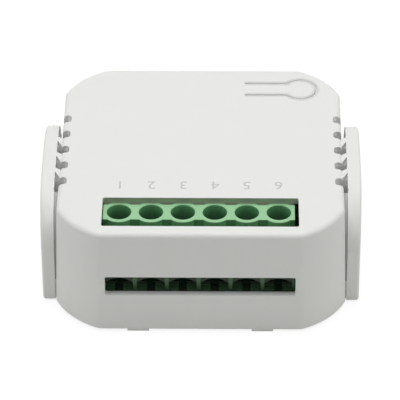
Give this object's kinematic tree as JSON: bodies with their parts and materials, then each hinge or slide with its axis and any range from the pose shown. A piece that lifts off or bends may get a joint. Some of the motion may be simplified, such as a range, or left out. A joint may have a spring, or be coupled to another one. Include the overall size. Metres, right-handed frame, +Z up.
{
  "type": "smart relay module",
  "caption": "Flush wall-box relay module: drafted grey case with two side ears, a press tongue in its lid and a green screw-terminal row at the front.",
  "frame": {"origin": "centre of the base, at the level of the surface that the module stands on", "axes": "+X along the terminal row, to the right as seen facing the wire entries; +Y from the wire entries to the back; +Z up, out of the lid"},
  "size_m": [0.0508, 0.0462, 0.0188],
  "materials": {
    "case_plastic": "fine matt moulded polycarbonate, warm light grey",
    "terminal_green": "satin green terminal moulding",
    "plated_steel": "bright zinc-plated steel",
    "tinned_brass": "tinned brass",
    "circuit_board": "green solder mask on glass-epoxy",
    "relay_black": "black moulded plastic, slightly glossy",
    "copper_wire": "enamelled copper winding",
    "soft_iron": "plated soft iron",
    "ferrite": "dark sintered ferrite",
    "capacitor_sleeve": "dark shrink sleeve over an aluminium can",
    "disc_coating": "blue epoxy coating",
    "resistor_coating": "pale green lacquer",
    "chip_black": "black moulding compound",
    "shield_metal": "tinned sheet steel",
    "lamp_lens": "clear moulded lens"
  },
  "bodies": {
    "module": {"top_shell": "case_plastic", "bottom_cover": "case_plastic", "terminal_block": "terminal_green", "main_board": "circuit_board", "relay_base": "relay_black", "relay_cover": "relay_black", "relay_bobbin": "relay_black", "relay_winding": "copper_wire", "relay_core": "soft_iron", "relay_yoke": "soft_iron", "relay_coil_pins": "tinned_brass", "relay_fixed_contact": "tinned_brass", "capacitor_1": "capacitor_sleeve", "capacitor_2": "capacitor_sleeve", "inductor_core": "ferrite", "inductor_winding": "copper_wire", "varistor": "disc_coating", "fuse_resistor": "resistor_coating", "bridge_rectifier": "chip_black", "driver_chip": "chip_black", "small_chips": "chip_black", "radio_board": "circuit_board", "radio_shield": "shield_metal", "status_led": "lamp_lens", "switch_body": "chip_black", "terminal_cage_1": "plated_steel", "terminal_cage_2": "plated_steel", "terminal_cage_3": "plated_steel", "terminal_cage_4": "plated_steel", "terminal_cage_5": "plated_steel", "terminal_cage_6": "plated_steel"},
    "reset_key": {"reset_key": "case_plastic"},
    "switch_plunger": {"switch_plunger": "relay_black"},
    "relay_armature": {"relay_armature": "soft_iron", "relay_contact_blade": "tinned_brass"},
    "clamp_1": {"clamp_plate_1": "plated_steel"},
    "screw_1": {"terminal_screw_1": "plated_steel"},
    "clamp_2": {"clamp_plate_2": "plated_steel"},
    "screw_2": {"terminal_screw_2": "plated_steel"},
    "clamp_3": {"clamp_plate_3": "plated_steel"},
    "screw_3": {"terminal_screw_3": "plated_steel"},
    "clamp_4": {"clamp_plate_4": "plated_steel"},
    "screw_4": {"terminal_screw_4": "plated_steel"},
    "clamp_5": {"clamp_plate_5": "plated_steel"},
    "screw_5": {"terminal_screw_5": "plated_steel"},
    "clamp_6": {"clamp_plate_6": "plated_steel"},
    "screw_6": {"terminal_screw_6": "plated_steel"}
  },
  "joints": [
    {"name": "key_press", "type": "hinge", "parent": "module", "child": "reset_key", "pos_m": [0.00695, 0.0168, 0.018], "axis": [0, 1, 0], "range_deg": [0, 2]},
    {"name": "switch_press", "type": "slide", "parent": "module", "child": "switch_plunger", "axis": [0, 0, -1], "range_m": [0, 0.00035], "stiffness_N_per_m": 4000},
    {"name": "armature_rock", "type": "hinge", "parent": "module", "child": "relay_armature", "pos_m": [-0.01359, 0.00692, 0.01477], "axis": [1, 0, 0], "range_deg": [0, 3.2], "stiffness_Nm_per_rad": 0.01, "springref_deg": -11.46},
    {"name": "clamp_slide_1", "type": "slide", "parent": "module", "child": "clamp_1", "axis": [0, 0, -1], "range_m": [0, 0.00225]},
    {"name": "screw_turn_1", "type": "hinge", "parent": "clamp_1", "child": "screw_1", "pos_m": [-0.01275, -0.01527, 0.0139], "axis": [0, 0, -1], "range_deg": [0, 1801]},
    {"name": "clamp_slide_2", "type": "slide", "parent": "module", "child": "clamp_2", "axis": [0, 0, -1], "range_m": [0, 0.00225]},
    {"name": "screw_turn_2", "type": "hinge", "parent": "clamp_2", "child": "screw_2", "pos_m": [-0.00775, -0.01527, 0.0139], "axis": [0, 0, -1], "range_deg": [0, 1801]},
    {"name": "clamp_slide_3", "type": "slide", "parent": "module", "child": "clamp_3", "axis": [0, 0, -1], "range_m": [0, 0.00225]},
    {"name": "screw_turn_3", "type": "hinge", "parent": "clamp_3", "child": "screw_3", "pos_m": [-0.00275, -0.01527, 0.0139], "axis": [0, 0, -1], "range_deg": [0, 1801]},
    {"name": "clamp_slide_4", "type": "slide", "parent": "module", "child": "clamp_4", "axis": [0, 0, -1], "range_m": [0, 0.00225]},
    {"name": "screw_turn_4", "type": "hinge", "parent": "clamp_4", "child": "screw_4", "pos_m": [0.00225, -0.01527, 0.0139], "axis": [0, 0, -1], "range_deg": [0, 1801]},
    {"name": "clamp_slide_5", "type": "slide", "parent": "module", "child": "clamp_5", "axis": [0, 0, -1], "range_m": [0, 0.00225]},
    {"name": "screw_turn_5", "type": "hinge", "parent": "clamp_5", "child": "screw_5", "pos_m": [0.00725, -0.01527, 0.0139], "axis": [0, 0, -1], "range_deg": [0, 1801]},
    {"name": "clamp_slide_6", "type": "slide", "parent": "module", "child": "clamp_6", "axis": [0, 0, -1], "range_m": [0, 0.00225]},
    {"name": "screw_turn_6", "type": "hinge", "parent": "clamp_6", "child": "screw_6", "pos_m": [0.01225, -0.01527, 0.0139], "axis": [0, 0, -1], "range_deg": [0, 1801]}
  ],
  "couplings": [
    {"joint": "key_press", "follows": "switch_press", "rad_per_m": 99},
    {"joint": "screw_turn_1", "follows": "clamp_slide_1", "rad_per_m": 13963},
    {"joint": "screw_turn_2", "follows": "clamp_slide_2", "rad_per_m": 13963},
    {"joint": "screw_turn_3", "follows": "clamp_slide_3", "rad_per_m": 13963},
    {"joint": "screw_turn_4", "follows": "clamp_slide_4", "rad_per_m": 13963},
    {"joint": "screw_turn_5", "follows": "clamp_slide_5", "rad_per_m": 13963},
    {"joint": "screw_turn_6", "follows": "clamp_slide_6", "rad_per_m": 13963}
  ]
}
